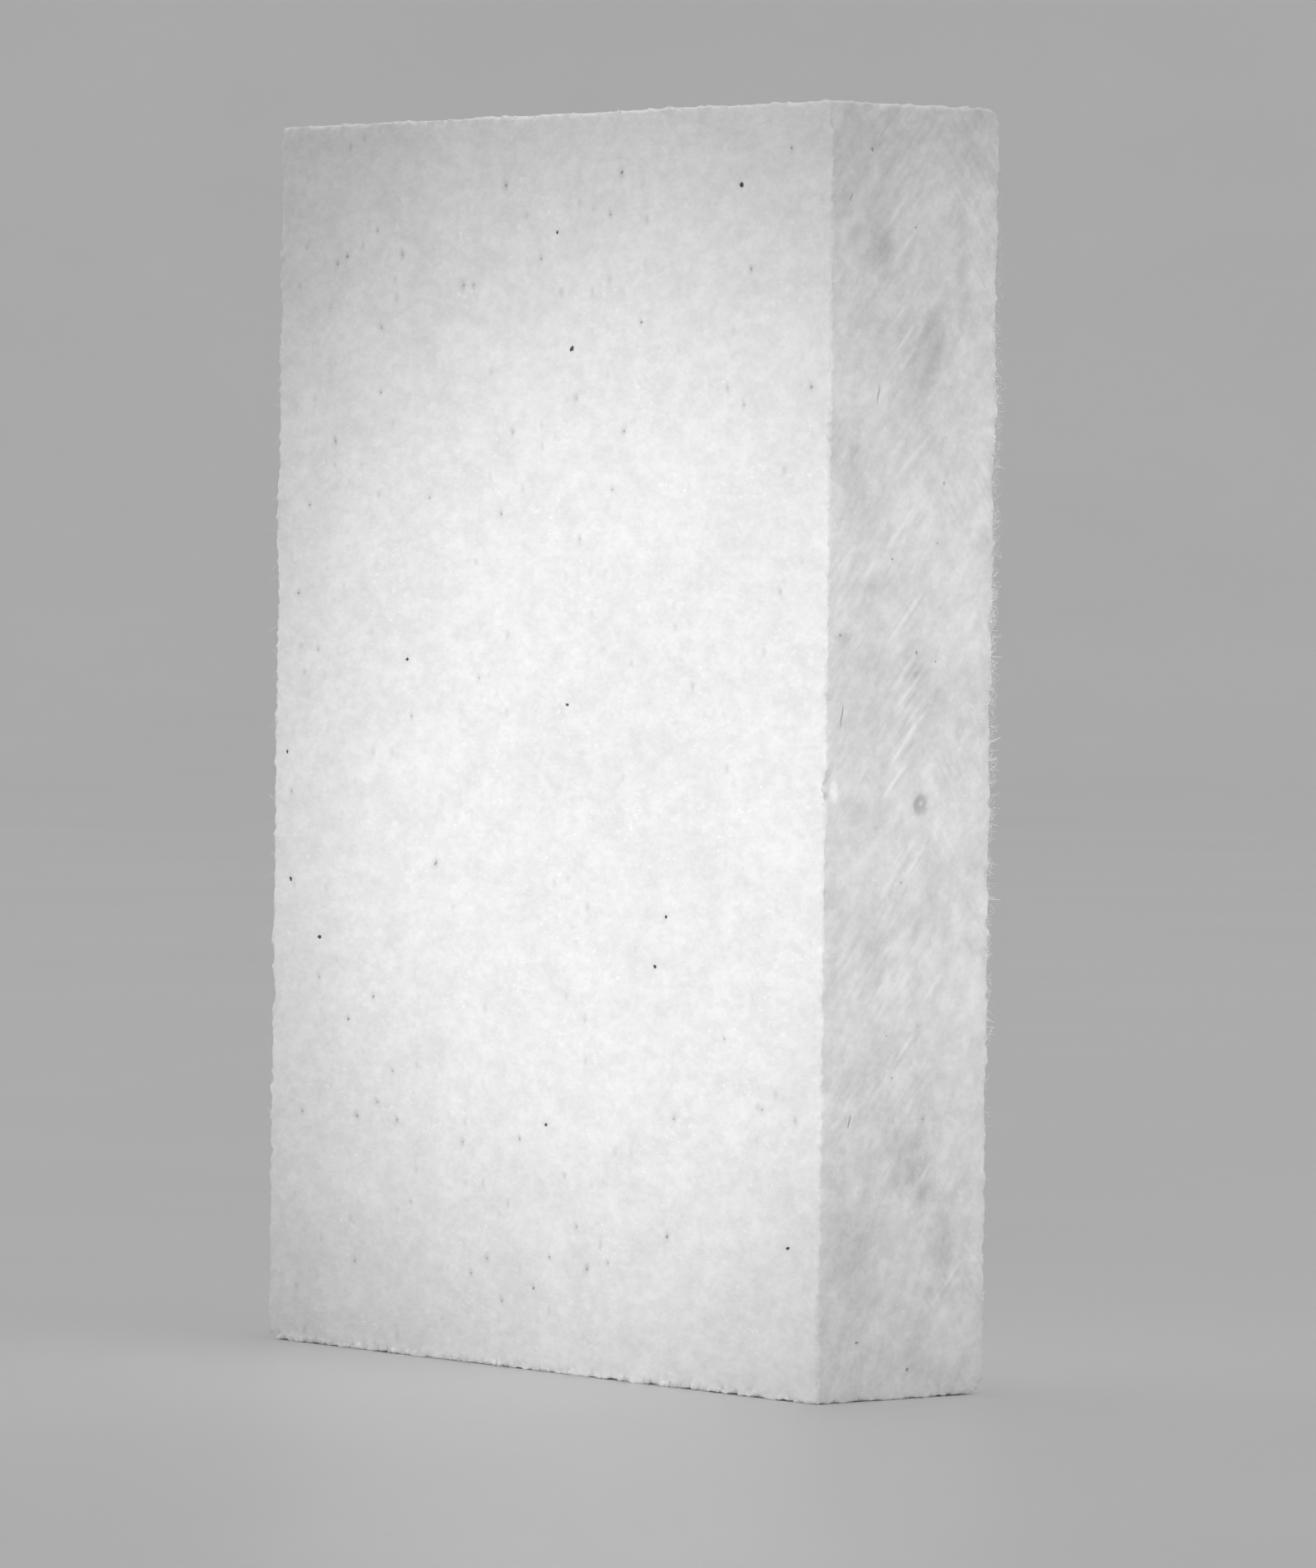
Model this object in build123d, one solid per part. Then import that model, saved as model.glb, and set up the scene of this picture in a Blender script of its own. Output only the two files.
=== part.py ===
from build123d import *
from math import cos, radians, sin
import os

# A block of gymnasts' hand chalk: a slab of pressed white chalk that stands on a short end.
# The origin is the centre of the foot. +Z runs up the long side, +X across the width,
# and the wide front face looks along -Y.

# Driving dimensions, in millimetres
HEIGHT = 76.2
WIDTH = 52.5
THICKNESS = 13.1

RIGHT = WIDTH / 2
BACK = THICKNESS / 2

# Edge radii. Wear has rounded the back of the two ends and the left of the foot. The other edges are crisp,
# with one radius round the two ends and another down the four upright edges.
TOP_BACK_RADIUS = 0.9
FOOT_BACK_RADIUS = 1.4
FOOT_LEFT_RADIUS = 1.0
END_RADIUS = 0.2
UPRIGHT_RADIUS = 0.3

# Chips in the near edge, where the front meets the right side: (height, length, depth)
CHIPS = ((35.5, 3.0, 0.30), (17.9, 0.9, 0.20), (14.6, 0.8, 0.18), (2.2, 1.0, 0.22))

# A burst air bubble in the right side: a shallow dish with a nub left standing in it
BUBBLE_Y = 1.0
BUBBLE_Z = 35.1
BUBBLE_WIDTH = 1.35
BUBBLE_DEPTH = 0.14
NUB_RADIUS = 0.22

# Dark grains in the front face, from the top down: (across, height, diameter)
FRONT_GRAINS = (
    (22.5, 73.5, 0.24), (7.0, 72.5, 0.28), (-4.0, 72.0, 0.32), (18.0, 71.5, 0.34), (6.0, 70.0, 0.22),
    (-16.5, 69.5, 0.20), (1.0, 69.0, 0.24), (-19.5, 68.0, 0.24), (-20.5, 67.5, 0.26), (-14.0, 68.0, 0.26),
    (-0.5, 67.5, 0.22), (19.0, 66.5, 0.24), (-8.0, 66.0, 0.26), (-7.0, 66.0, 0.20), (-16.0, 63.5, 0.22),
    (9.0, 63.5, 0.24), (2.5, 62.0, 0.36), (24.5, 59.5, 0.28), (17.0, 59.5, 0.22), (-16.0, 59.5, 0.22),
    (3.0, 59.0, 0.20), (18.5, 58.5, 0.22), (-3.0, 57.0, 0.24), (7.5, 57.0, 0.22), (-20.5, 56.5, 0.26),
    (6.5, 53.5, 0.20), (-11.0, 53.0, 0.18), (-23.0, 52.5, 0.20), (-4.0, 52.0, 0.22), (3.5, 50.5, 0.22),
    (22.0, 47.5, 0.18), (-24.0, 47.0, 0.20), (-22.0, 43.5, 0.22), (-13.0, 43.0, 0.32), (-6.0, 42.0, 0.22),
    (2.5, 40.5, 0.24), (-12.5, 39.5, 0.20), (-25.0, 37.0, 0.24), (-24.5, 34.5, 0.20), (-10.0, 30.5, 0.32),
    (-24.5, 29.0, 0.26), (12.0, 28.0, 0.20), (-21.5, 25.5, 0.34), (11.0, 25.0, 0.30), (-21.5, 23.0, 0.22),
    (-16.0, 22.0, 0.26), (17.5, 21.0, 0.20), (-18.5, 20.5, 0.24), (-14.0, 17.5, 0.20), (21.0, 17.0, 0.22),
    (24.0, 16.5, 0.20), (13.0, 16.0, 0.28), (-15.5, 15.5, 0.24), (1.0, 15.0, 0.26), (-17.5, 14.5, 0.28),
    (-23.0, 14.5, 0.20), (-13.5, 14.5, 0.26), (-1.5, 14.0, 0.22), (-7.0, 13.5, 0.24), (-2.5, 10.0, 0.20),
    (-12.0, 9.5, 0.20), (23.5, 9.0, 0.30), (12.5, 9.0, 0.26), (4.0, 9.0, 0.22), (1.5, 7.0, 0.20),
    (7.0, 7.0, 0.20), (-4.5, 6.5, 0.28), (5.0, 6.5, 0.28), (-17.5, 5.5, 0.22), (-6.0, 5.5, 0.22),
    (0.0, 5.0, 0.22), (-3.0, 4.0, 0.24),
)

# Dark grains in the right side, from the top down: (front to back, height, diameter)
RIGHT_GRAINS = (
    (-3.5, 73.5, 0.28), (0.0, 69.0, 0.20), (2.5, 54.0, 0.26), (2.0, 50.5, 0.20), (-1.5, 49.5, 0.20),
    (-5.5, 45.0, 0.24), (0.5, 44.0, 0.22), (2.0, 43.5, 0.20), (-0.5, 30.5, 0.18), (1.0, 22.0, 0.26),
    (-1.5, 21.5, 0.20), (-1.0, 19.0, 0.20), (1.5, 16.5, 0.22), (-3.5, 3.5, 0.26), (0.5, 1.7, 0.26),
)

# Grains in the other faces are spread evenly: (how many, diameter)
BACK_GRAINS = (48, 0.24)
LEFT_GRAINS = (12, 0.22)
TOP_GRAINS = (9, 0.22)
GOLDEN = 0.618034
GRAIN_MARGIN = 1.8

# The centre of a grain lies this share of its radius under the face, so the grain is a little proud
GRAIN_SINK = 0.7

# Fibres caught in the far edge, where the back meets the right side: (height, length, lean from level)
FIBRES = (
    (67.5, 1.6, 75), (57.0, 0.7, 20), (55.0, 0.6, -15), (48.0, 0.8, 40), (44.0, 0.7, -30),
    (38.5, 0.8, 15), (32.0, 0.6, 55), (31.0, 0.9, 60), (29.6, 0.8, -28), (24.2, 0.8, 40),
    (20.8, 1.0, 42), (26.0, 0.6, 70),
)
FIBRE_RADIUS = 0.03
FIBRE_ROOT = 0.25
FIBRE_BEND = 35
FIBRE_HEADING = 50


def outline(width, height, radii):
    """A rectangle with a radius of its own on each corner, from low left round to high left."""
    shape = Rectangle(width, height)
    corners = ((-1, -1), (1, -1), (1, 1), (-1, 1))
    for (across, up), radius in zip(corners, radii):
        corner = Vector(across * width / 2, up * height / 2, 0)
        shape = fillet(shape.vertices().sort_by_distance(corner)[0], radius)
    return shape


def slab():
    """The plain slab, as what three rounded outlines share: seen from the right, the front and above."""
    right = outline(THICKNESS, HEIGHT, (END_RADIUS, FOOT_BACK_RADIUS, TOP_BACK_RADIUS, END_RADIUS))
    front = outline(WIDTH, HEIGHT, (FOOT_LEFT_RADIUS, END_RADIUS, END_RADIUS, END_RADIUS))
    plan = outline(WIDTH, THICKNESS, 4 * (UPRIGHT_RADIUS,))
    along_x = extrude(Plane.YZ * right, WIDTH / 2, both=True)
    along_y = extrude(Plane.XZ * front, THICKNESS / 2, both=True)
    along_z = extrude(plan, HEIGHT / 2, both=True)
    return Pos(0, 0, HEIGHT / 2) * (along_x & along_y & along_z)


def chip(height, length, depth):
    """A ball that bites a shell-shaped chip out of the near edge."""
    radius = ((length / 2) ** 2 + depth**2) / (2 * depth)
    out = (radius - depth) * cos(radians(45))
    return Pos(RIGHT + out, -BACK - out, height) * Sphere(radius)


def bubble():
    """The dish that a burst bubble leaves in the right side, with its nub."""
    radius = ((BUBBLE_WIDTH / 2) ** 2 + BUBBLE_DEPTH**2) / (2 * BUBBLE_DEPTH)
    dish = Pos(RIGHT + radius - BUBBLE_DEPTH, BUBBLE_Y, BUBBLE_Z) * Sphere(radius)
    nub = Pos(RIGHT - BUBBLE_DEPTH - NUB_RADIUS / 3, BUBBLE_Y, BUBBLE_Z) * Sphere(NUB_RADIUS)
    return dish - nub


def spread(count, low, high):
    """Points spread evenly over a rectangle by the golden ratio."""
    return [
        (
            low[0] + (high[0] - low[0]) * ((k * GOLDEN + 0.3) % 1),
            low[1] + (high[1] - low[1]) * (k + 0.5) / count,
        )
        for k in range(count)
    ]


def grain(face_point, outward, size):
    """One dark grain: a ball that stands a little out of the face at that point."""
    centre = Vector(*face_point) - Vector(*outward) * (GRAIN_SINK * size / 2)
    return Plane(origin=centre, z_dir=outward) * Sphere(size / 2)


def grains():
    """Every dark grain, face by face."""
    balls = [grain((x, -BACK, z), (0, -1, 0), size) for x, z, size in FRONT_GRAINS]
    balls += [grain((RIGHT, y, z), (1, 0, 0), size) for y, z, size in RIGHT_GRAINS]

    side, end, top = RIGHT - GRAIN_MARGIN, BACK - GRAIN_MARGIN, HEIGHT - GRAIN_MARGIN
    count, size = BACK_GRAINS
    for x, z in spread(count, (-side, GRAIN_MARGIN), (side, top)):
        balls.append(grain((x, BACK, z), (0, 1, 0), size))
    count, size = LEFT_GRAINS
    for y, z in spread(count, (-end, GRAIN_MARGIN), (end, top)):
        balls.append(grain((-RIGHT, y, z), (-1, 0, 0), size))
    count, size = TOP_GRAINS
    for y, x in spread(count, (-end, -side), (end, side)):
        balls.append(grain((x, y, HEIGHT), (0, 0, 1), size))
    return balls


def fibre(height, length, lean):
    """One fibre: a thin round hair on a single arc, rooted in the far edge and leaning up or down."""
    start = Vector(RIGHT - FIBRE_ROOT, BACK - FIBRE_ROOT, height)
    level = Vector(cos(radians(FIBRE_HEADING)), sin(radians(FIBRE_HEADING)), 0)
    along = level * cos(radians(lean)) + Vector(0, 0, 1) * sin(radians(lean))
    across = Vector(0, 0, 1) * cos(radians(lean)) - level * sin(radians(lean))
    bend = radians(FIBRE_BEND)
    radius = (length + FIBRE_ROOT) / bend
    middle = start + along * (radius * sin(bend / 2)) + across * (radius * (1 - cos(bend / 2)))
    end = start + along * (radius * sin(bend)) + across * (radius * (1 - cos(bend)))
    path = ThreePointArc(start, middle, end)
    return sweep(Plane(path @ 0, z_dir=path % 0) * Circle(FIBRE_RADIUS), path=path)


dark_grains = grains()
hairs = [fibre(*row) for row in FIBRES]

chalk = slab()
for row in CHIPS:
    chalk -= chip(*row)
chalk -= bubble()
for piece in dark_grains + hairs:
    chalk -= piece

os.makedirs("parts", exist_ok=True)
export_step(chalk, "parts/chalk_block.step")
export_step(Compound(children=dark_grains), "parts/grit_specks.step")
export_step(Compound(children=hairs), "parts/stray_fibres.step")
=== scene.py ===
"""The looks of a block of gymnasts' hand chalk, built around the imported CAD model.

Everything is placed in the CAD model's frame: metres, +Z up, origin at the centre of the foot, the wide
front face towards -Y and the sawn right side towards +X. Surface work is done in millimetres.
"""

from math import atan2, cos, hypot, pi, radians, sin

import bmesh
import bpy
import numpy as np
from mathutils import Euler, Matrix, Vector, noise


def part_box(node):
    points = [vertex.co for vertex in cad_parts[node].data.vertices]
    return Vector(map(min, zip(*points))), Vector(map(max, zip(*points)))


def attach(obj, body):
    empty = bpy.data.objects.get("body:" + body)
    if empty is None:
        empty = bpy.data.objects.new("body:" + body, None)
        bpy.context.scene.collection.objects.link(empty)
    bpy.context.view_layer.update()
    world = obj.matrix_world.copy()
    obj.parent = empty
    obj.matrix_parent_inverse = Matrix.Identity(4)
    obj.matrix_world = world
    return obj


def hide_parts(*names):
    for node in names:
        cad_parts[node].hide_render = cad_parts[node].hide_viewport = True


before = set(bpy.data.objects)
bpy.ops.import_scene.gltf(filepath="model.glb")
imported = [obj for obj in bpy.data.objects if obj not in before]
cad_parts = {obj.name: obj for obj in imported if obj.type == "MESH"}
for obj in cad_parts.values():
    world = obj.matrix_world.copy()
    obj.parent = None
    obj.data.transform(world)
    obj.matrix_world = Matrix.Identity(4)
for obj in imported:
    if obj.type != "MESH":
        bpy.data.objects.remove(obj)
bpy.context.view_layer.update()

MM = 0.001
_, high = (np.array(corner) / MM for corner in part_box("chalk_block"))
RIGHT, BACK, TOP = high
HALF = np.array([RIGHT, BACK, TOP / 2])
MIDDLE = np.array([0, 0, TOP / 2])

# ---------------------------------------------------------------- camera

# The camera stands off the near edge at the height of the block's upper half, and sees it through a long
# lens.
CAMERA_PLACE = (410.8 * MM, -344.6 * MM, 48.3 * MM)
CAMERA_TURN = (88.646, -0.750, 49.792)
LENS = 201.4


def make_camera():
    """The photo's camera, made first of all."""
    data = bpy.data.cameras.new("camera")
    data.sensor_width = 36
    data.lens = LENS
    data.clip_start = 0.05
    data.clip_end = 60
    camera = bpy.data.objects.new("camera", data)
    camera.location = CAMERA_PLACE
    camera.rotation_euler = Euler([radians(turn) for turn in CAMERA_TURN])
    bpy.context.scene.collection.objects.link(camera)
    bpy.context.scene.camera = camera


make_camera()

# ---------------------------------------------------------------- the block's skin

# The widths of the cells, and of the strips along the edges where they are halved once and twice
CELL = 0.6
EDGE_STRIP = 1.1
FINE_STRIP = 0.33

# Edge radii as (axis the edge runs along, signs of the other two axes, radius)
ROUNDS = (
    ("x", (1, 1), 1.0), ("x", (1, -1), 1.4), ("x", (-1, 1), 0.12), ("x", (-1, -1), 0.15),
    ("y", (-1, -1), 1.0), ("y", (-1, 1), 0.15), ("y", (1, 1), 0.12), ("y", (1, -1), 0.12),
    ("z", (-1, -1), 0.12), ("z", (-1, 1), 0.2), ("z", (1, -1), 0.12), ("z", (1, 1), 0.15),
)


def box_skin():
    """A box of even square cells, as one closed bmesh, in millimetres about the block's middle."""
    counts = [round(2 * half / CELL) for half in HALF]
    lines = [np.linspace(-half, half, count + 1) for half, count in zip(HALF, counts)]
    mesh = bmesh.new()
    made = {}

    def vertex(*cell):
        if cell not in made:
            made[cell] = mesh.verts.new([lines[axis][step] for axis, step in enumerate(cell)])
        return made[cell]

    for axis in range(3):
        across, up = (axis + 1) % 3, (axis + 2) % 3
        for end in (0, counts[axis]):
            for a in range(counts[across]):
                for b in range(counts[up]):
                    corners = [(a, b), (a + 1, b), (a + 1, b + 1), (a, b + 1)]
                    if end == 0:
                        corners.reverse()
                    cells = []
                    for step_across, step_up in corners:
                        cell = [0, 0, 0]
                        cell[axis], cell[across], cell[up] = end, step_across, step_up
                        cells.append(vertex(*cell))
                    mesh.faces.new(cells)
    return mesh


def edge_distance(points):
    """How far each point on the box lies from the nearest edge."""
    gaps = np.sort(HALF - np.abs(points), axis=1)
    return np.hypot(gaps[:, 0], gaps[:, 1])


def refine(mesh, wanted):
    """Halves the cells whose middle is wanted: wanted turns an array of points into an array of truths."""
    faces = list(mesh.faces)
    middles = np.array([face.calc_center_median() for face in faces])
    edges = {edge for face, yes in zip(faces, wanted(middles)) if yes for edge in face.edges}
    bmesh.ops.subdivide_edges(mesh, edges=list(edges), cuts=1, use_grid_fill=True)


# How far the marks of the sawn side reach over the faces that meet it
SIDE_STRIP = 0.2


def sawn(points, strip=0.01):
    """True on the right side, where the saw marks are, and on a strip of the faces that meet it."""
    return points[:, 0] > HALF[0] - strip


def near_any(points, spots, reach):
    """True within reach of any of the spots."""
    close = np.zeros(len(points), bool)
    for spot in spots:
        close |= ((points - spot) ** 2).sum(1) < reach**2
    return close


def round_edges(points):
    """Bends the box's square edges into their radii."""
    points = points.copy()
    for axis, signs, radius in ROUNDS:
        a, b = [k for k in range(3) if "xyz"[k] != axis]
        u = signs[0] * points[:, a] - (HALF[a] - radius)
        v = signs[1] * points[:, b] - (HALF[b] - radius)
        corner = (u > 0) & (v > 0)
        u, v = u[corner], v[corner]
        shrink = np.maximum(u, v) / np.hypot(u, v)
        points[corner, a] = signs[0] * (HALF[a] - radius + u * shrink)
        points[corner, b] = signs[1] * (HALF[b] - radius + v * shrink)
    return points


def fractal(points, size, octaves=4, seed=0.0):
    """Smooth random values from about -1 to 1, with lumps of the given size in millimetres."""
    shift = Vector((seed, 0, 0))
    return np.array([noise.fractal(Vector(point) / size + shift, 1.0, 2.0, octaves) for point in points])


def bite(points, centre, radius):
    """Pushes what lies inside a ball out to the ball's wall, as a chip or a dish."""
    away = points - centre
    distance = np.linalg.norm(away, axis=1)
    inside = distance < radius
    points[inside] = centre + away[inside] * (radius / distance[inside])[:, None]


def islands(node):
    """The separate solids of a CAD node, as arrays of points in millimetres about the block's middle."""
    mesh = bmesh.new()
    mesh.from_mesh(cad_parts[node].data)
    bmesh.ops.remove_doubles(mesh, verts=mesh.verts, dist=1e-7)
    seen, found = set(), []
    for start in mesh.verts:
        if start in seen:
            continue
        seen.add(start)
        stack, points = [start], []
        while stack:
            vertex = stack.pop()
            points.append(np.array(vertex.co) / MM - MIDDLE)
            for edge in vertex.link_edges:
                other = edge.other_vert(vertex)
                if other not in seen:
                    seen.add(other)
                    stack.append(other)
        found.append(np.array(points))
    mesh.free()
    return found


# Each CAD grain as (centre, radius)
grains = [((solid.min(0) + solid.max(0)) / 2, (solid.max(0) - solid.min(0)).max() / 2)
          for solid in islands("grit_specks")]

# The black grains of the front face: (across, height). Its other grains are grey and look smudged.
BLACK = (
    (18.0, 71.5), (1.0, 69.0), (2.5, 62.0), (-13.0, 43.0), (2.5, 40.5), (-25.0, 37.0),
    (-24.5, 29.0), (12.0, 28.0), (-21.5, 25.5), (11.0, 25.0), (1.0, 15.0), (23.5, 9.0),
)


def is_black(centre):
    """True for a grain of the front face that lies at one of the places in BLACK."""
    on_front = centre[1] < 0.5 - BACK
    return on_front and any(hypot(centre[0] - x, centre[2] - z + TOP / 2) < 0.4 for x, z in BLACK)


# Saw marks on the right side: (front to back, height, length). They lean the same way, in degrees from the
# level, and are strongest round one height. The fainter ones towards the back lean across them.
SAW_LEAN = 49
CROSS_LEAN = 124
CROSSED_FROM = 1.8
STRONGEST_MARKS = 41
FAINT_MARKS = 130
SAW_MARKS = (
    (-1.5, 70.0, 3.2), (-1.0, 67.5, 2.5), (-0.5, 65.0, 4.2), (-1.0, 62.5, 3.4), (-0.5, 61.0, 2.3),
    (0.0, 58.0, 6.3), (0.0, 55.5, 4.3), (-1.0, 51.0, 4.3), (-0.5, 46.0, 4.6), (-0.5, 43.0, 3.0),
    (0.0, 41.5, 3.9), (0.5, 40.0, 2.7), (-0.5, 38.5, 3.3), (-1.0, 36.5, 3.3), (-0.5, 32.0, 4.8),
    (0.5, 31.5, 3.1), (1.0, 26.5, 3.2), (0.0, 23.0, 1.7), (2.0, 24.0, 3.2), (0.0, 20.5, 2.5),
    (-1.0, 14.0, 2.4), (3.5, 7.0, 3.9), (1.5, 13.5, 2.8),
)

# The strands of one saw mark: (shift, half width, height, strength). A negative strength is dark.
STRANDS = ((0, 0.14, 0.035, 1.0), (0.28, 0.12, -0.02, -0.6), (-0.3, 0.06, 0.02, 0.6))
STRONG_STRAND = 0.36


def saw_scratches(random):
    """Every scratch in the sawn side: (middle y, middle z, half length, lean, half width, lift, strength)."""
    rows = []
    for y, z, length in SAW_MARKS:
        weight = 0.55 + 0.5 * np.exp(-(((z - STRONGEST_MARKS) / 7) ** 2))
        for shift, width, height, strength in STRANDS:
            half = length * (0.5 if shift == 0 else random.uniform(0.25, 0.45))
            rows.append((y + shift * random.uniform(0.8, 1.5), z - TOP / 2 + random.uniform(-0.4, 0.4), half,
                         radians(SAW_LEAN + random.normal(0, 2)), width * random.uniform(0.7, 1.1),
                         height * weight, strength * weight))
    for _ in range(FAINT_MARKS):
        y = random.uniform(-4.5, 6.0)
        lean = (SAW_LEAN if y < CROSSED_FROM else CROSS_LEAN) + random.normal(0, 5)
        rows.append((y, random.uniform(-HALF[2] + 1, HALF[2] - 1), random.uniform(0.4, 1.6), radians(lean),
                     random.uniform(0.05, 0.11), random.uniform(-0.015, 0.012), random.uniform(0.1, 0.35)))
    return rows


def along_and_across(points, row):
    """Each point's place in a scratch's own frame, on the sawn side."""
    middle_y, middle_z, _, lean = row[:4]
    y, z = points[:, 1] - middle_y, points[:, 2] - middle_z
    return y * cos(lean) + z * sin(lean), z * cos(lean) - y * sin(lean)


def near_scratch(points, rows, reach):
    """True on the sawn side within reach of one of the strong scratches."""
    close = np.zeros(len(points), bool)
    for row in rows:
        if abs(row[6]) > STRONG_STRAND:
            along, across = along_and_across(points, row)
            close |= (np.abs(along) < row[2] + reach) & (np.abs(across) < reach)
    return close & sawn(points)


def scratch_heights(points, rows):
    """How high the scratches lift or sink each point of the sawn side, and how strongly each is marked."""
    lift, mark = np.zeros(len(points)), np.zeros(len(points))
    side = np.flatnonzero(sawn(points, SIDE_STRIP))
    for row in rows:
        half, width, height, strength = row[2], row[4], row[5], row[6]
        along, across = along_and_across(points[side], row)
        line = np.exp(-((across / width) ** 2)) * np.clip(1.3 - 1.3 * (along / half) ** 2, 0, 1)
        lift[side] += height * line
        mark[side] += line * strength
    return lift, np.clip(mark, -1, 1)


# The burst bubble is a dish in the right side, with a nub a little off its middle.
BUBBLE = np.array([RIGHT, 1.0, 35.1 - TOP / 2])
BUBBLE_WIDTH, BUBBLE_DEPTH = 1.35, 0.16
NUB_WIDTH, NUB_HEIGHT, NUB_SHIFT = 0.13, 0.07, (0.06, 0.02)

# Dark marks on the sawn side. Cracks: (front to back, height, length). Blotches: (front to back, height,
# half width, half height, strength)
# The cracks are grooves that are also painted darker along their length: painted shade.
CRACK_BEND, CRACK_WIDTH, CRACK_DEPTH, CRACK_PAINTED_SHADE = 0.08, 0.05, 0.08, 0.36
BLOTCH_STAIN = 1.3
CRACKS = ((-5.3, 40.3, 1.5), (-2.8, 59.1, 1.3), (-4.3, 16.5, 0.9), (-5.1, 70.6, 0.5))
BLOTCHES = (
    (0.6, 60.5, 1.5, 2.6, 0.10), (1.6, 63.0, 0.7, 1.6, 0.11), (-2.6, 67.5, 1.4, 3.6, 0.08),
    (-2.4, 26.0, 1.2, 5.5, 0.06), (0.4, 43.0, 0.9, 0.9, 0.09), (2.0, 41.5, 0.6, 1.0, 0.07),
    (-5.2, 45.0, 0.5, 0.5, 0.10), (-4.6, 55.0, 0.5, 2.5, 0.07), (0.2, 14.0, 1.6, 1.8, 0.11),
    (1.5, 12.5, 0.9, 1.4, 0.10), (-3.5, 9.0, 1.5, 3.5, 0.07), (3.2, 10.0, 1.0, 2.2, 0.08),
    (1.6, 56.0, 0.5, 0.7, 0.08), (3.6, 67.0, 0.6, 3.2, 0.08), (-0.8, 20.5, 0.7, 1.4, 0.06),
    (-0.1, 35.9, 0.18, 0.35, 0.08), (-0.4, 35.4, 0.14, 0.3, 0.07), (0.5, 34.6, 0.3, 0.3, 0.05),
)


def crack_strength(points):
    """How deep in a crack of the sawn side each point lies, from 0 to 1."""
    deep = np.zeros(len(points))
    for y, z, length in CRACKS:
        along = (points[:, 2] - (z - TOP / 2)) / (length / 2)
        bend = CRACK_BEND * np.sin(along * 2.5)
        line = np.exp(-(((points[:, 1] - y - bend) / CRACK_WIDTH) ** 2))
        deep = np.maximum(deep, line * np.clip(1 - along**2, 0, 1))
    return deep * sawn(points, SIDE_STRIP)


def near_crack(points, reach):
    """True on the sawn side within reach of a crack."""
    close = np.zeros(len(points), bool)
    for y, z, length in CRACKS:
        beside = np.abs(points[:, 1] - y) < reach + CRACK_BEND
        close |= beside & (np.abs(points[:, 2] - z + TOP / 2) < length / 2 + reach)
    return close & sawn(points)


def nub(points):
    """How near each point of the sawn side lies to the nub in the bubble, from 0 to 1."""
    gap = np.linalg.norm((points - BUBBLE)[:, 1:] - NUB_SHIFT, axis=1)
    return np.exp(-((gap / NUB_WIDTH) ** 2))


def stains_and_painted_shade(points):
    """How much darker each point of the skin is than clean chalk: the chalk's own blotches and smudges round
    the grains, with painted shade in the cracks, in the bubble's dish and in the pits above the foot, less a
    painted highlight on the bubble's nub.
    """
    side = sawn(points, SIDE_STRIP)
    # Painted shade in the grooves of the cracks.
    dark = CRACK_PAINTED_SHADE * crack_strength(points)
    streaky = side.astype(float)
    along, across = along_and_across(points[side], (0, 0, 0, radians(SAW_LEAN)))
    streaky[side] += 1.1 * fractal(np.stack([along / 3, across, 0 * along], 1), 0.9, seed=170)
    for y, z, wide, tall, strength in BLOTCHES:
        blot = np.exp(-(((points[:, 1] - y) / wide) ** 2) - ((points[:, 2] - z + TOP / 2) / tall) ** 2)
        dark += BLOTCH_STAIN * streaky * strength * blot
    # Painted shade: the pits of the crumbly strip just above the foot are drawn darker.
    dark += 0.3 * np.clip(-crumbly_foot(points), 0, 0.6)
    # Painted shade and highlight: the bubble's dish is drawn as a dark ragged ring, and its raised nub is
    # painted lighter.
    from_bubble = np.linalg.norm((points - BUBBLE)[:, 1:] * (1, 0.9), axis=1)
    ragged = from_bubble + 0.17 * fractal(points, 0.4, seed=110)
    ring = 0.5 * np.exp(-(((ragged - 0.32) / 0.2) ** 2)) + 0.7 * np.exp(-((ragged / 0.62) ** 4))
    dark += side * np.clip(0.25 * ring - 0.15 * nub(points), -0.05, 1)
    for centre, radius in grains:
        away = points - centre
        lean = noise.noise(Vector(centre))
        on_end = abs(centre[0]) > RIGHT - 0.5
        along = away[:, 2] * cos(lean) + away[:, 1 if on_end else 0] * sin(lean)
        gap = np.sqrt((away**2).sum(1) - 0.45 * along**2)
        halo = 0.05 if on_end or is_black(centre) else 0.2
        dark += halo * np.exp(-((gap / (1.7 * radius)) ** 2))
    return dark


# Chips in the near edge: (height, length, depth)
CHIPS = ((34.6, 1.6, 0.2), (17.9, 0.9, 0.18), (14.6, 0.8, 0.16), (2.2, 1.0, 0.2))
# Oval scoops out of the right side that reach over the near edge: (middle, half width, half height, depth)
SCOOPS = (
    (np.array([RIGHT, 0.35 - BACK, 35.8 - TOP / 2]), 0.62, 1.5, 0.34),
    (np.array([RIGHT, 0.1 - BACK, 76.0 - TOP / 2]), 0.8, 1.7, 0.34),
)
SMALL_CHIPS = 420


def ball_for(width, depth):
    """The radius of the ball whose bite is that wide and that deep."""
    return ((width / 2) ** 2 + depth**2) / (2 * depth)


def chip_edge(points, middle, outward, width, depth):
    """Bites a shell-shaped chip out of an edge at the point middle."""
    radius = ball_for(width, depth)
    bite(points, middle + outward * (radius - depth), radius)


def scoop(points, middle, half_wide, half_tall, depth):
    """Dishes in the right side by an oval. Where it reaches over the near edge, the edge goes in with it."""
    away = points - middle
    ragged = 1 + 0.5 * fractal(points, 0.7, seed=130)
    inward = depth * np.clip(ragged - (away[:, 1] / half_wide) ** 2 - (away[:, 2] / half_tall) ** 2, 0, 1)
    points[:, 0] -= inward * np.exp(-((away[:, 0] / 0.5) ** 2))


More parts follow.
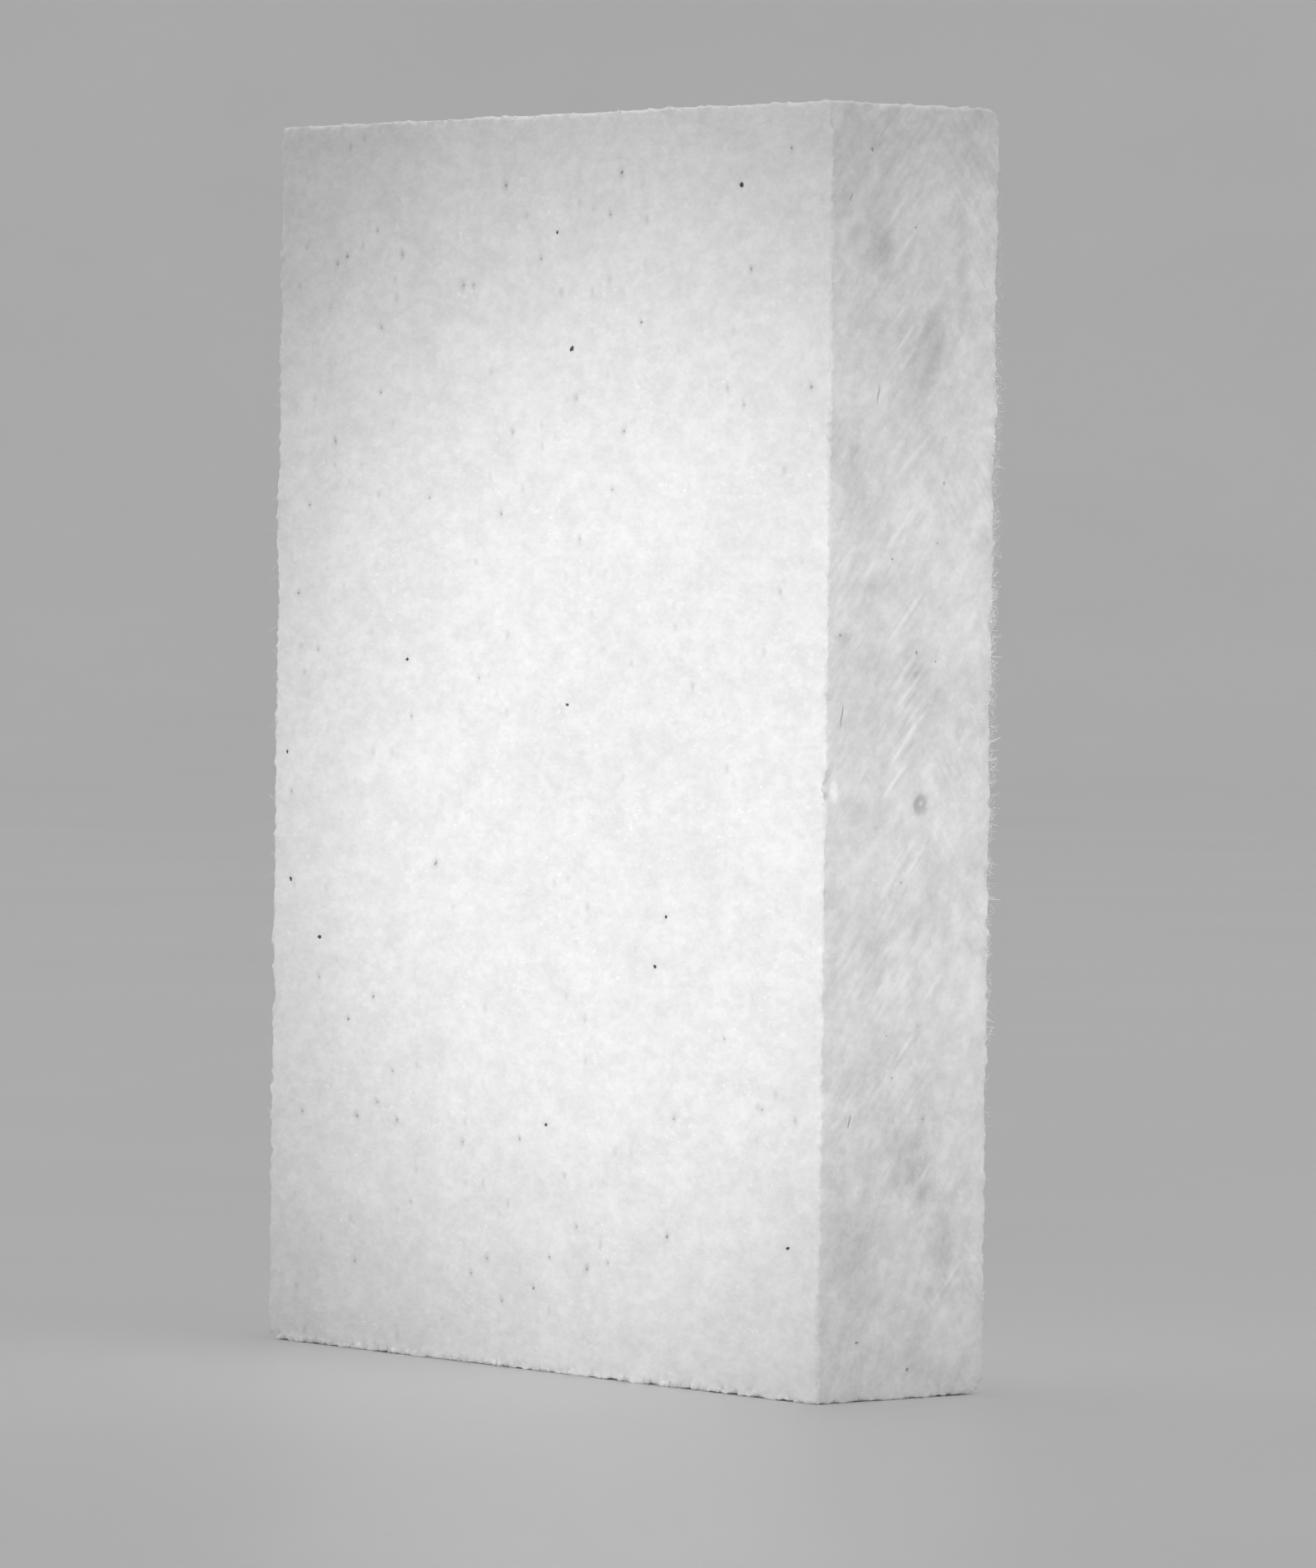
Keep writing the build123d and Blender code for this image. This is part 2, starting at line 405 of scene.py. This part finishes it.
def chip_edges(points, random):
    """The chips that can be made out one by one, and many small ones along every edge."""
    near = np.array([1, -1, 0]) / 2**0.5
    for height, length, depth in CHIPS:
        chip_edge(points, np.array([RIGHT, -BACK, height - TOP / 2]), near, length, depth)
    for spot in SCOOPS:
        scoop(points, *spot)
    lengths = 2 * HALF
    for _ in range(SMALL_CHIPS):
        axis = random.choice(3, p=lengths / lengths.sum())
        outward = random.choice([-1.0, 1.0], 3)
        place = outward * HALF
        place[axis] = random.uniform(-HALF[axis], HALF[axis])
        outward[axis] = 0
        width = 0.25 + 0.75 * random.random() ** 2
        chip_edge(points, place, outward / 2**0.5, width, width * random.uniform(0.05, 0.10) + 0.07)


def crumbly_foot(points):
    """Where the front face crumbles just above the foot: above 0 on a lump, under 0 in a pit, 0 elsewhere."""
    on_front = points[:, 1] < 0.01 - HALF[1]
    near_foot = on_front * np.exp(-(((points[:, 2] + HALF[2]) / 0.5) ** 2))
    return near_foot * (0.25 + fractal(points, 0.6, seed=150))


def skin_heights(points, scratches):
    """How far each point of the skin moves along its normal, and how strongly it is marked by the saw."""
    edge = edge_distance(points)
    worn = np.exp(-((edge / 0.3) ** 2))
    lift = 0.022 * fractal(points, 9.0) + 0.012 * fractal(points, 1.3, seed=20)
    lift += 0.008 * fractal(points, 0.45, seed=40)
    waves = fractal(points, 2.6, seed=60)
    crumbs = fractal(points, 0.55, seed=80)
    lift -= worn * (0.03 + 0.1 * waves + 0.17 * crumbs)
    lift += 0.2 * crumbly_foot(points)
    scratched, marked = scratch_heights(points, scratches)
    return lift + scratched - CRACK_DEPTH * crack_strength(points), marked


def near_front_foot(points, reach):
    """True within reach of the edge where the front face meets the foot."""
    return np.hypot(points[:, 1] + HALF[1], points[:, 2] + HALF[2]) < reach


def near_edge(points, reach):
    """True within reach of the edge where the front face meets the sawn side."""
    return np.hypot(HALF[0] - points[:, 0], HALF[1] + points[:, 1]) < reach


def skin_cells(scratches):
    """The box with its cells halved up to four times where there are fine shapes to carry."""
    mesh = box_skin()
    spots = [centre for centre, _ in grains] + [BUBBLE]
    scoops = [middle for middle, *_ in SCOOPS]
    refine(mesh, lambda p: (edge_distance(p) < EDGE_STRIP) | sawn(p) | near_any(p, spots, 0.9))
    refine(mesh, lambda p: (edge_distance(p) < FINE_STRIP) | near_front_foot(p, 1.0) | near_crack(p, 0.3)
           | near_any(p, spots, 0.45) | near_any(p, [BUBBLE], 1.0) | near_any(p, scoops, 1.3)
           | near_scratch(p, scratches, 0.4))
    refine(mesh, lambda p: near_edge(p, 0.2) | near_front_foot(p, 0.4) | near_crack(p, 0.15)
           | near_scratch(p, scratches, 0.16))
    refine(mesh, lambda p: near_crack(p, 0.09))
    bmesh.ops.recalc_face_normals(mesh, faces=mesh.faces)
    return mesh


def make_skin(random):
    """The block: a fine closed skin with its edges rounded, worn and chipped, its saw marks and its pits."""
    scratches = saw_scratches(random)
    mesh = skin_cells(scratches)
    data = bpy.data.meshes.new("pressed_chalk")
    mesh.to_mesh(data)
    mesh.free()

    flat = np.array([v.co for v in data.vertices])
    points = round_edges(flat)
    set_points(data, points)
    normals = np.array([v.normal for v in data.vertices])
    lift, marked = skin_heights(flat, scratches)
    points += normals * lift[:, None]

    chip_edges(points, random)
    ball = ball_for(BUBBLE_WIDTH, BUBBLE_DEPTH)
    bite(points, BUBBLE + (ball - BUBBLE_DEPTH, 0, 0), ball)
    points[:, 0] += sawn(flat) * NUB_HEIGHT * nub(points)
    for centre, radius in grains:
        gap = np.linalg.norm(points - centre, axis=1)
        points -= normals * (0.7 * radius * np.exp(-((gap / (1.2 * radius)) ** 2)))[:, None]

    points[:, 2] = np.maximum(points[:, 2], -HALF[2])
    set_points(data, (points + MIDDLE) * MM)
    add_values(data, "saw_mark", marked)
    add_values(data, "stain_and_painted_shade", stains_and_painted_shade(flat))
    return shown("pressed_chalk", data), flat, points, normals


def add_values(data, name, values):
    """Keeps a number for each vertex, which a material can read by that name."""
    data.attributes.new(name, "FLOAT", "POINT").data.foreach_set("value", np.asarray(values, np.float32))


def set_points(data, points):
    """Moves a mesh's vertices to those points."""
    data.vertices.foreach_set("co", np.asarray(points, np.float32).ravel())
    data.update()


def shown(name, data):
    """A smooth-shaded object of that mesh, in the scene."""
    data.shade_smooth()
    piece = bpy.data.objects.new(name, data)
    bpy.context.scene.collection.objects.link(piece)
    return piece


# ---------------------------------------------------------------- grains and crumbs

# The share of the grains on the back and the left side that are black
HIDDEN_BLACK = 0.12


def pebble(mesh, centre, radius, squash, seed, steps=2, turn=None):
    """An angular lump, added to a bmesh in millimetres: a ball dented by noise and squashed three ways."""
    made = bmesh.ops.create_icosphere(mesh, subdivisions=steps, radius=1.0)
    for vertex in made["verts"]:
        dent = 1 + 0.38 * noise.noise(vertex.co * 1.4 + Vector((seed, 0, 0)), noise_basis="VORONOI_F1")
        dent += 0.10 * noise.noise(vertex.co * 4 + Vector((0, seed, 0)))
        place = Vector(np.array(vertex.co) * squash) * radius * dent
        if turn:
            place.rotate(turn)
        vertex.co = Vector(centre) + place
    return made["verts"]


def finish_lumps(name, mesh):
    """Turns a bmesh in millimetres about the block's middle into an object in metres, above the floor."""
    for vertex in mesh.verts:
        vertex.co.z = max(vertex.co.z, -HALF[2])
    data = bpy.data.meshes.new(name)
    mesh.transform(Matrix.Scale(MM, 4) @ Matrix.Translation(MIDDLE))
    mesh.to_mesh(data)
    mesh.free()
    return shown(name, data)


def make_grit(random):
    """The grains, one angular lump in each CAD grain's place. Few are black: most are grey."""
    mesh = bmesh.new()
    shades = []
    for count, (centre, radius) in enumerate(grains):
        squash = (random.uniform(1.1, 1.7), random.uniform(0.8, 1.0), random.uniform(0.7, 1.0))
        turn = Euler(random.uniform(-1.3, 1.3, 3))
        hidden = centre[1] > BACK - 0.5 or centre[0] < 0.5 - RIGHT
        black = is_black(centre) or (hidden and random.random() < HIDDEN_BLACK)
        made = pebble(mesh, centre, radius * (0.95 if black else 0.8), squash, 7.3 * count, turn=turn)
        shade = random.uniform(0.02, 0.08) if black else random.uniform(0.32, 0.6)
        shades += [shade] * len(made)
    piece = finish_lumps("dark_grit", mesh)
    add_values(piece.data, "shade", shades)
    return piece


# Crumbs along the edges: (axis the edge runs along, its side on each other axis, how many, largest radius)
SMALLEST_CRUMB = 0.035
CRUMBS = (
    (2, (1, 1, 0), 90, 0.11), (2, (1, -1, 0), 90, 0.11), (2, (-1, -1, 0), 50, 0.12),
    (2, (-1, 1, 0), 24, 0.12), (0, (0, -1, -1), 150, 0.22), (0, (0, -1, 1), 50, 0.11),
    (0, (0, 1, 1), 20, 0.12), (1, (1, 0, -1), 14, 0.13), (1, (1, 0, 1), 10, 0.1),
)


def edge_vertices(flat, axis, signs, reach):
    """The skin's vertices within reach of one edge, away from its ends."""
    others = [k for k in range(3) if k != axis]
    near = np.abs(flat[:, axis]) < HALF[axis] - 0.4
    for k in others:
        near &= np.abs(flat[:, k] - signs[k] * HALF[k]) < reach
    return np.flatnonzero(near)


def make_crumbs(random, flat, points, normals):
    """Small lumps of chalk that cling along the edges, half sunk in the skin."""
    mesh = bmesh.new()
    for axis, signs, count, largest in CRUMBS:
        for k, chosen in enumerate(random.choice(edge_vertices(flat, axis, signs, 0.25), count)):
            size = SMALLEST_CRUMB + (largest - SMALLEST_CRUMB) * random.random() ** 2
            place = points[chosen] - normals[chosen] * 0.35 * size
            place[2] = max(place[2], size - HALF[2])
            pebble(mesh, place, size, random.uniform(0.7, 1.3, 3), 3.1 * k + axis, steps=1)
    return finish_lumps("edge_crumbs", mesh)


# ---------------------------------------------------------------- fibres


def hair(mesh, root, tip, bow, thickness, sides=5, steps=8):
    """A tapering hair from root to tip, bowed sideways, added to a bmesh as a closed tube."""
    root, tip, bow = Vector(root), Vector(tip), Vector(bow)
    rings = []
    line = (tip - root).normalized()
    across = line.orthogonal().normalized()
    other = line.cross(across)
    for step in range(steps + 1):
        share = step / steps
        middle = root.lerp(tip, share) + bow * (4 * share * (1 - share))
        radius = thickness / 2 * (1 - 0.6 * share)
        ring = []
        for k in range(sides):
            turn = 2 * pi * k / sides
            ring.append(mesh.verts.new(middle + (across * cos(turn) + other * sin(turn)) * radius))
        rings.append(ring)
    for below, above in zip(rings, rings[1:]):
        for k in range(sides):
            mesh.faces.new((below[k], below[(k + 1) % sides], above[(k + 1) % sides], above[k]))
    mesh.faces.new(reversed(rings[0]))
    mesh.faces.new(rings[-1])


def make_fibres(random):
    """The long stray fibres, each from its CAD fibre's root to its tip."""
    mesh = bmesh.new()
    for solid in islands("stray_fibres"):
        out = solid[:, 0] + solid[:, 1]
        root, tip = solid[out.argmin()], solid[out.argmax()]
        middle = solid.mean(0)
        bow = (middle - (root + tip) / 2) * 0.9 + random.normal(0, 0.05, 3)
        hair(mesh, root, tip, bow, 0.07, sides=6, steps=12)
    return finish_lumps("pale_fibres", mesh)


# Fuzz along the edges: (axis the edge runs along, its side on each other axis, how many hairs)
FUZZ = ((2, (1, 1, 0), 750), (2, (-1, -1, 0), 60), (2, (1, -1, 0), 20), (0, (0, -1, 1), 16))


def make_fuzz(random, flat, points):
    """Short fuzz: a fringe that lies along the far edge, thinner at its ends, and a few hairs elsewhere."""
    mesh = bmesh.new()
    for axis, signs, count in FUZZ:
        near = edge_vertices(flat, axis, signs, 0.2)
        where = points[near, axis] / HALF[axis]
        clumps = 1.2 + fractal(points[near] * (0, 0, 1), 2.5, seed=7)
        likely = np.exp(-(((where - 0.2) / 0.55) ** 2)) * clumps
        outward = np.array(signs, float)
        for chosen in random.choice(near, count, p=likely / likely.sum()):
            way = outward * random.uniform(0.15, 0.8, 3)
            way[axis] = random.normal(0, 1.0)
            length = random.uniform(0.2, 0.75)
            root = points[chosen] - outward * 0.05
            bow = random.normal(0, 0.16, 3) * length + outward * 0.08 * length
            thickness = random.uniform(0.03, 0.05)
            hair(mesh, root, root + way / np.linalg.norm(way) * length, bow, thickness, 3, 5)
    return finish_lumps("edge_fuzz", mesh)


# ---------------------------------------------------------------- materials


class Nodes:
    """A small helper that adds nodes to a material and links them as it goes."""

    def __init__(self, material):
        material.use_nodes = True
        self.tree = material.node_tree
        self.tree.nodes.clear()
        self.output = self.tree.nodes.new("ShaderNodeOutputMaterial")
        self.shader = self.tree.nodes.new("ShaderNodeBsdfPrincipled")
        self.tree.links.new(self.shader.outputs[0], self.output.inputs[0])

    def add(self, kind, inputs=(), **settings):
        """A node of that kind. inputs maps socket names or numbers to values or to other nodes' sockets."""
        node = self.tree.nodes.new("ShaderNode" + kind)
        for name, value in settings.items():
            setattr(node, name, value)
        for name, value in dict(inputs).items():
            if isinstance(value, bpy.types.NodeSocket):
                self.tree.links.new(value, node.inputs[name])
            else:
                node.inputs[name].default_value = value
        return node

    def place(self):
        """Coordinates on the object, in metres."""
        return self.add("TexCoord").outputs["Object"]

    def math(self, operation, a, b=0.0):
        return self.add("Math", {0: a, 1: b}, operation=operation).outputs[0]

    def noise(self, where, size, detail=4.0, roughness=0.55):
        """Noise from 0 to 1 with lumps of the given size in metres."""
        inputs = {"Vector": where, "Scale": 1 / size, "Detail": detail, "Roughness": roughness}
        return self.add("TexNoise", inputs).outputs["Fac"]

    def spots(self, where, spacing, reach, rarity):
        """Soft round spots, 1 in the middle and 0 outside: rarity is the share of cells that stay empty."""
        cells = self.add("TexVoronoi", {"Vector": where, "Scale": 1 / spacing})
        near = self.band(cells.outputs["Distance"], reach, 0.0)
        lot = self.add("SeparateColor", {0: cells.outputs["Color"]}).outputs[0]
        return self.math("MULTIPLY", near, self.band(lot, rarity, 1.0))

    def band(self, value, start, end, low=0.0, high=1.0):
        """Maps value from start..end to low..high with soft ends."""
        inputs = {"Value": value, "From Min": start, "From Max": end, "To Min": low, "To Max": high}
        return self.add("MapRange", inputs, interpolation_type="SMOOTHSTEP").outputs["Result"]

    def grey(self, value):
        """A neutral colour of that brightness."""
        return self.add("CombineColor", {0: value, 1: value, 2: value}).outputs[0]

    def set(self, **values):
        """Sets or links the shader's own sockets. Underscores stand for spaces."""
        for name, value in values.items():
            socket = self.shader.inputs[name.replace("_", " ")]
            if isinstance(value, bpy.types.NodeSocket):
                self.tree.links.new(value, socket)
            else:
                socket.default_value = value


def chalk_material(name, base):
    """Pressed white powder: matt, slightly translucent, mottled, with pale flecks and small grey ovals."""
    material = bpy.data.materials.new(name)
    nodes = Nodes(material)
    where = nodes.place()

    wide = nodes.add("Mapping", {"Vector": where, "Scale": (0.75, 1.0, 1.1)}).outputs[0]
    tall = nodes.add("Mapping", {"Vector": where, "Scale": (1.0, 1.0, 0.7)}).outputs[0]
    bright = nodes.band(nodes.noise(where, 9 * MM, 3), 0.3, 0.7, base - 0.015, base + 0.015)
    for size, depth in ((2.4, 0.024), (0.9, 0.027), (0.32, 0.024), (0.15, 0.016)):
        clouds = nodes.band(nodes.noise(wide, size * MM, 3, 0.6), 0.3, 0.7, -depth, depth)
        bright = nodes.math("ADD", bright, clouds)

    ovals = nodes.spots(tall, 1.6 * MM, 0.22, 0.35)
    pits = nodes.spots(where, 2.9 * MM, 0.12, 0.5)
    patches = nodes.band(nodes.noise(where, 4 * MM, 2), 0.48, 0.6)
    flecks = nodes.math("MULTIPLY", nodes.band(nodes.noise(wide, 0.28 * MM, 2), 0.62, 0.72), patches)
    bright = nodes.math("SUBTRACT", bright, nodes.math("MULTIPLY", ovals, 0.13))
    # The pits are dented in the bump and also painted darker: painted shade in the dents.
    bright = nodes.math("SUBTRACT", bright, nodes.math("MULTIPLY", pits, 0.2))
    bright = nodes.math("ADD", bright, nodes.math("MULTIPLY", flecks, 0.1))

    # This attribute holds the chalk's own blotches and smudges, together with painted shade in the cracks,
    # the bubble's dish and the pits above the foot, and a painted highlight on the bubble's nub.
    stain_and_painted_shade = nodes.add("Attribute", attribute_name="stain_and_painted_shade").outputs["Fac"]
    bright = nodes.math("ADD", bright, sawn_streaks(nodes, where))
    bright = nodes.math("SUBTRACT", bright, stain_and_painted_shade)
    nodes.set(Base_Color=nodes.grey(nodes.math("MINIMUM", bright, 0.97)))

    rough = nodes.band(nodes.noise(where, 0.4 * MM), 0.3, 0.7, 0.86, 0.98)
    powder = nodes.math("ADD", nodes.noise(where, 0.2 * MM, 5, 0.65), nodes.math("MULTIPLY", flecks, 0.5))
    powder = nodes.math("SUBTRACT", powder, nodes.math("MULTIPLY", pits, 0.35))
    bump = nodes.add("Bump", {"Height": powder, "Strength": 0.45, "Distance": 0.045 * MM})
    nodes.set(Roughness=rough, Normal=bump.outputs[0], Specular_IOR_Level=0.25, IOR=1.5)
    nodes.set(Subsurface_Weight=0.25, Subsurface_Radius=(1.0, 1.0, 1.0), Subsurface_Scale=0.35 * MM)
    return material


def smear(nodes, where, lean, size, squeeze, depth):
    """Noise drawn out along that lean in the plane of the sawn side, from -depth to depth."""
    turned = nodes.add("Mapping", {"Vector": where, "Rotation": (radians(-lean), 0, 0)}).outputs[0]
    stretched = nodes.add("Mapping", {"Vector": turned, "Scale": (1.0, squeeze, 1.0)}).outputs[0]
    return nodes.band(nodes.noise(stretched, size * MM, 3, 0.6), 0.3, 0.7, -depth, depth)


def sawn_streaks(nodes, where):
    """How much lighter or darker the narrow sides are than the pressed faces, with smears and scratches."""
    axes = nodes.add("SeparateXYZ", {0: where}).outputs
    on_side = nodes.band(nodes.math("ABSOLUTE", axes[0]), (RIGHT - 0.35) * MM, (RIGHT - 0.05) * MM)
    crossed = nodes.band(axes[1], 0.8 * MM, 3.0 * MM)
    uncrossed = nodes.math("SUBTRACT", 1.0, crossed)
    rising = nodes.math("MULTIPLY", smear(nodes, where, SAW_LEAN, 0.3, 0.1, 0.042), uncrossed)
    falling = nodes.math("MULTIPLY", smear(nodes, where, CROSS_LEAN, 0.3, 0.1, 0.042), crossed)
    patchy = nodes.band(nodes.noise(where, 5 * MM, 2), 0.4, 0.62)
    smears = nodes.math("MULTIPLY", nodes.math("ADD", rising, falling), patchy)
    blotches = nodes.band(nodes.noise(where, 3.5 * MM, 3), 0.35, 0.65, -0.08, 0.0)
    cloudy = smear(nodes, where, SAW_LEAN + 15, 0.8, 0.45, 0.035)
    uneven = nodes.math("ADD", nodes.math("ADD", smears, blotches), cloudy)
    marks = nodes.add("Attribute", attribute_name="saw_mark").outputs["Fac"]
    change = nodes.math("ADD", uneven, nodes.math("MULTIPLY", marks, 0.15))
    return nodes.math("MULTIPLY", change, on_side)


def grit_material():
    """Dark mineral grains, each a little different, with a faint gloss."""
    material = bpy.data.materials.new("dark_grit")
    nodes = Nodes(material)
    where = nodes.place()
    shade = nodes.add("Attribute", attribute_name="shade").outputs["Fac"]
    speckle = nodes.band(nodes.noise(where, 0.07 * MM, 3), 0.3, 0.7, -0.02, 0.05)
    nodes.set(Base_Color=nodes.grey(nodes.math("ADD", shade, speckle)))
    rough = nodes.band(nodes.noise(where, 0.1 * MM), 0.3, 0.7, 0.45, 0.8)
    crust = nodes.noise(where, 0.05 * MM)
    bump = nodes.add("Bump", {"Height": crust, "Strength": 0.5, "Distance": 0.01 * MM})
    nodes.set(Roughness=rough, Normal=bump.outputs[0], Specular_IOR_Level=0.4)
    return material


def fibre_material():
    """Pale lint: soft and dusted with chalk."""
    material = bpy.data.materials.new("pale_fibre")
    nodes = Nodes(material)
    where = nodes.place()
    nodes.set(Base_Color=nodes.grey(nodes.band(nodes.noise(where, 0.2 * MM, 3), 0.3, 0.7, 0.74, 0.9)))
    nodes.set(Roughness=nodes.band(nodes.noise(where, 0.1 * MM), 0.3, 0.7, 0.5, 0.75))
    nodes.set(Sheen_Weight=0.3, Specular_IOR_Level=0.4)
    return material


# ---------------------------------------------------------------- the studio

FLAT_RADIUS, BEND_RADIUS, WALL_TOP = 1.2, 0.9, 1.0
FLOOR_GREY = 0.84
SKY_STRENGTH = 0.52


def make_sweep():
    """A plain pale floor that bends up into a wall all round, so that no horizon shows from any side."""
    bend = [(FLAT_RADIUS + BEND_RADIUS * sin(turn), BEND_RADIUS * (1 - cos(turn)))
            for turn in np.linspace(0, pi / 2, 17)]
    profile = [(0.15, 0.0), (0.5, 0.0), *bend, (FLAT_RADIUS + BEND_RADIUS, WALL_TOP)]
    turns = 96
    mesh = bmesh.new()
    rings = [[mesh.verts.new((radius * cos(2 * pi * k / turns), radius * sin(2 * pi * k / turns), height))
              for k in range(turns)] for radius, height in profile]
    mesh.faces.new(rings[0])
    for inner, outer in zip(rings, rings[1:]):
        for k in range(turns):
            after = (k + 1) % turns
            mesh.faces.new((inner[k], outer[k], outer[after], inner[after]))
    data = bpy.data.meshes.new("sweep")
    mesh.to_mesh(data)
    mesh.free()
    data.materials.append(sweep_material())
    shown("sweep", data)


def sweep_material():
    """The floor's even pale grey."""
    material = bpy.data.materials.new("sweep")
    nodes = Nodes(material)
    clouds = nodes.noise(nodes.place(), 60 * MM, 3)
    soft = nodes.band(clouds, 0.3, 0.7, FLOOR_GREY - 0.008, FLOOR_GREY + 0.008)
    nodes.set(Base_Color=nodes.grey(soft), Roughness=0.42, Specular_IOR_Level=0.22)
    return material


def make_world():
    """Even soft light from above the wall."""
    world = bpy.data.worlds.new("studio")
    bpy.context.scene.world = world
    world.use_nodes = True
    background = world.node_tree.nodes["Background"]
    background.inputs["Color"].default_value = (1, 1, 1, 1)
    background.inputs["Strength"].default_value = SKY_STRENGTH


LAMP_DISTANCE = 0.5
LAMP_RADIUS = 0.036

# Lamps as (name, azimuth, elevation, the beam's half width, power, place it is aimed at)
LAMPS = (
    ("key", 13, 6, 0.024, 25.0, (0.008, -BACK * MM, 0.036)),
    ("side_key", 86, 6, 0.018, 12.0, (RIGHT * MM, 0, 0.037)),
    ("back_key", 160, 8, 0.040, 9.5, (0, BACK * MM, 0.038)),
    ("left_key", 275, 10, 0.040, 4.0, (-RIGHT * MM, 0, 0.038)),
    ("top_key", 0, 88, 0.050, 3.0, (0, 0, TOP * MM)),
)


def make_lamps(pieces):
    """Round lamps with narrow soft-edged beams, flagged so that they light the block and not the floor.

    The key makes the middle of the wide front face brighter than its corners. Azimuth 0 is straight in front.
    """
    lit = bpy.data.collections.new("lit_by_lamps")
    for piece in pieces:
        lit.objects.link(piece)
    for name, azimuth, elevation, half_width, power, aim in LAMPS:
        light = bpy.data.lights.new(name, "SPOT")
        light.spot_size = 2 * atan2(half_width, LAMP_DISTANCE)
        light.spot_blend = 1.0
        light.shadow_soft_size = LAMP_RADIUS
        light.energy = power
        lamp = bpy.data.objects.new(name, light)
        turn, rise = radians(azimuth), radians(elevation)
        away = Vector((sin(turn) * cos(rise), -cos(turn) * cos(rise), sin(rise)))
        lamp.location = Vector(aim) + away * LAMP_DISTANCE
        lamp.rotation_euler = away.to_track_quat("Z", "Y").to_euler()
        lamp.visible_camera = False
        lamp.light_linking.receiver_collection = lit
        bpy.context.scene.collection.objects.link(lamp)


# ---------------------------------------------------------------- assembly

SEED = 20
random = np.random.default_rng(SEED)
chalk, flat, points, normals = make_skin(random)
grit = make_grit(random)
crumbs = make_crumbs(random, flat, points, normals)
fibres = make_fibres(random)
fuzz = make_fuzz(random, flat, points)

# The crumbs get a lighter copy of the chalk, base 0.96 against 0.87: a painted highlight for crumbs that
# catch the light.
chalk_look, crumb_look_painted_highlight = chalk_material("pressed_chalk", 0.87), chalk_material("loose_chalk_painted_highlight", 0.96)
grit_look, fibre_look = grit_material(), fibre_material()
for piece, look, slot in (
    (chalk, chalk_look, "pressed_chalk"),
    (grit, grit_look, "dark_grit"),
    (crumbs, crumb_look_painted_highlight, "pressed_chalk"),
    (fibres, fibre_look, "pale_fibre"),
    (fuzz, fibre_look, "pale_fibre"),
):
    piece.data.materials.append(look)
    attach(piece, "root")
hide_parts("chalk_block")
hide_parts("grit_specks")
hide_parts("stray_fibres")

make_sweep()
make_world()
make_lamps((chalk, grit, crumbs, fibres, fuzz))
bpy.context.scene.view_settings.view_transform = "Standard"
